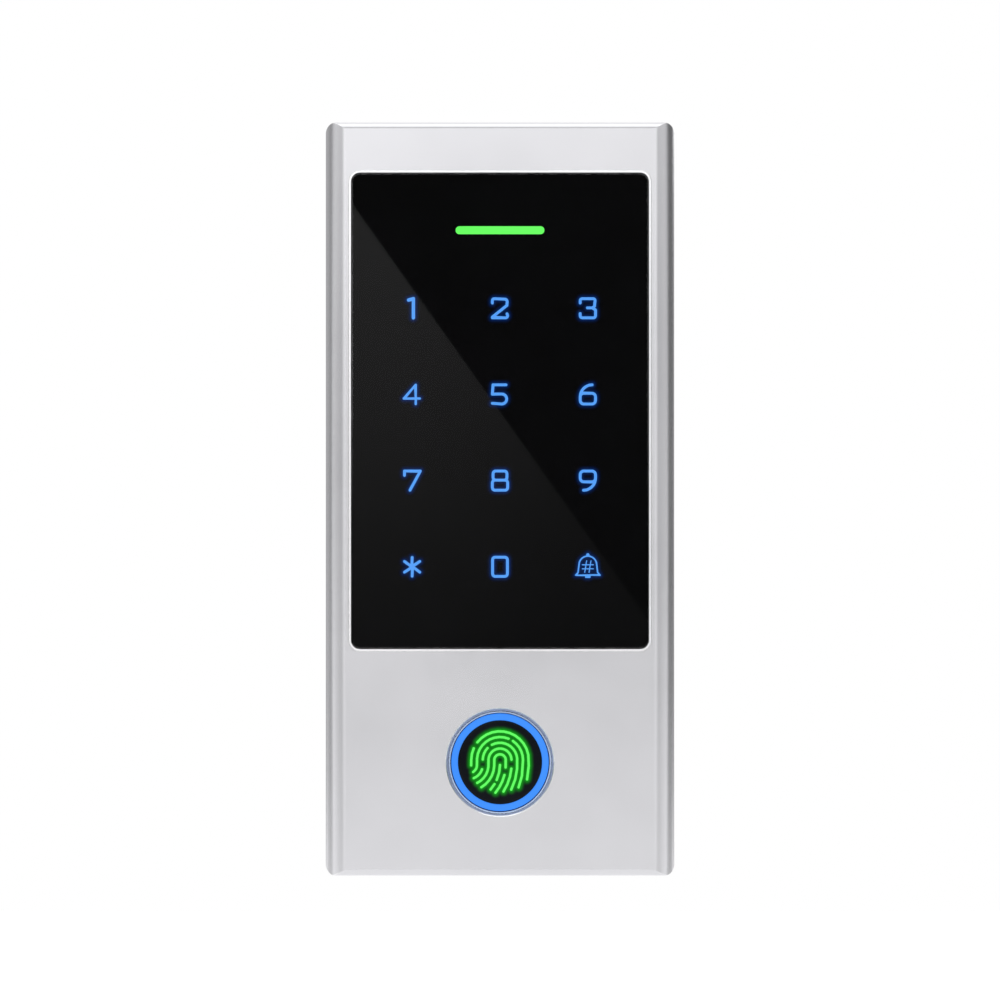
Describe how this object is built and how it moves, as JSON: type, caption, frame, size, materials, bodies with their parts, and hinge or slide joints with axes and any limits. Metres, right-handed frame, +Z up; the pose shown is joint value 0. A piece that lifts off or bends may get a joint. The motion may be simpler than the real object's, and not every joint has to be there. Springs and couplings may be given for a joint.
{
  "type": "fingerprint scanner terminal",
  "caption": "Wall-hung access terminal with a metal case, lit glass keypad, status bar and round fingerprint sensor, hooked on a steel plate and locked by a screw.",
  "frame": {"origin": "on the wall, where the plate's back face rests, level with the middle of the case's height and on its centre line", "axes": "+X across to the right as seen from the front, +Y into the wall, +Z up"},
  "size_m": [0.073, 0.022, 0.1572],
  "materials": {
    "case_metal": "satin",
    "plate_steel": "satin",
    "nut_steel": "satin",
    "screw_steel": "gloss",
    "lock_steel": "satin",
    "nylon_white": "satin",
    "cover_black": "matte",
    "seal_rubber": "matte",
    "grommet_rubber": "matte",
    "clear_glass": "gloss",
    "ink_black": "gloss",
    "legend_blue": "satin",
    "status_green": "satin",
    "foam_tape": "matte",
    "film_clear": "gloss",
    "diffuser_white": "matte",
    "frame_black": "matte",
    "board_green": "satin",
    "led_cream": "gloss",
    "chip_black": "matte",
    "passive_tan": "satin",
    "brass_post": "satin",
    "barrel_navy": "gloss",
    "ring_blue": "satin",
    "sensor_black": "gloss",
    "icon_green": "satin",
    "ribbon_white": "satin",
    "socket_ivory": "satin",
    "ferrite_grey": "matte",
    "can_silver": "gloss",
    "relay_blue": "satin",
    "battery_steel": "gloss",
    "switch_ivory": "satin",
    "plunger_red": "satin",
    "spring_steel": "gloss"
  },
  "bodies": {
    "wall_plate": {"mounting_plate": "plate_steel", "clinch_nut": "nut_steel"},
    "washer": {"lock_washer": "nylon_white"},
    "screw": {"lock_screw": "lock_steel"},
    "plunger": {"tamper_plunger": "plunger_red"},
    "terminal": {"front_housing": "case_metal", "rear_cover": "cover_black", "rear_seal": "seal_rubber", "rear_cover_screws": "screw_steel", "cable_grommet": "grommet_rubber", "touch_glass": "clear_glass", "legend_mask": "ink_black", "key_legends": "legend_blue", "status_bar": "status_green", "glass_adhesive": "foam_tape", "touch_film": "film_clear", "light_diffuser": "diffuser_white", "light_frame": "frame_black", "keypad_board": "board_green", "key_leds": "led_cream", "status_leds": "led_cream", "touch_controller": "chip_black", "standoffs": "brass_post", "sensor_barrel": "barrel_navy", "sensor_light_ring": "ring_blue", "sensor_window": "sensor_black", "sensor_icon": "icon_green", "sensor_chip": "chip_black", "sensor_board": "board_green", "sensor_leds": "led_cream", "sensor_gasket": "seal_rubber", "sensor_retainer": "plate_steel", "retainer_screws": "screw_steel", "sensor_ribbon": "ribbon_white", "ribbon_sockets": "socket_ivory", "main_board": "board_green", "main_board_screws": "screw_steel", "processor": "chip_black", "memory_chips": "chip_black", "power_chips": "chip_black", "chip_passives": "passive_tan", "inductor": "ferrite_grey", "capacitors": "can_silver", "relay": "relay_blue", "piezo_buzzer": "chip_black", "wire_headers": "socket_ivory", "backup_battery": "battery_steel", "board_connector": "socket_ivory", "tamper_switch": "switch_ivory", "tamper_spring": "spring_steel"}
  },
  "joints": [
    {"name": "terminal_swing", "type": "hinge", "parent": "wall_plate", "child": "terminal", "pos_m": [0, -0.00295, 0.072], "axis": [-1, 0, 0], "range_deg": [0, 12]},
    {"name": "lock_screw_travel", "type": "slide", "parent": "wall_plate", "child": "washer", "axis": [0, 0, -1], "range_m": [0, 0.0025]},
    {"name": "lock_screw_turn", "type": "hinge", "parent": "washer", "child": "screw", "pos_m": [0, -0.006, -0.077], "axis": [0, 0, -1], "range_deg": [0, 1800]},
    {"name": "tamper_slide", "type": "slide", "parent": "terminal", "child": "plunger", "axis": [0, 1, 0], "range_m": [0, 0.0015], "stiffness_N_per_m": 60, "springref_m": 0.003, "deforming": ["tamper_spring"]}
  ],
  "couplings": [
    {"joint": "lock_screw_turn", "follows": "lock_screw_travel", "rad_per_m": 12566},
    {"joint": "tamper_slide", "follows": "terminal_swing", "m_per_rad": 0.00716}
  ]
}
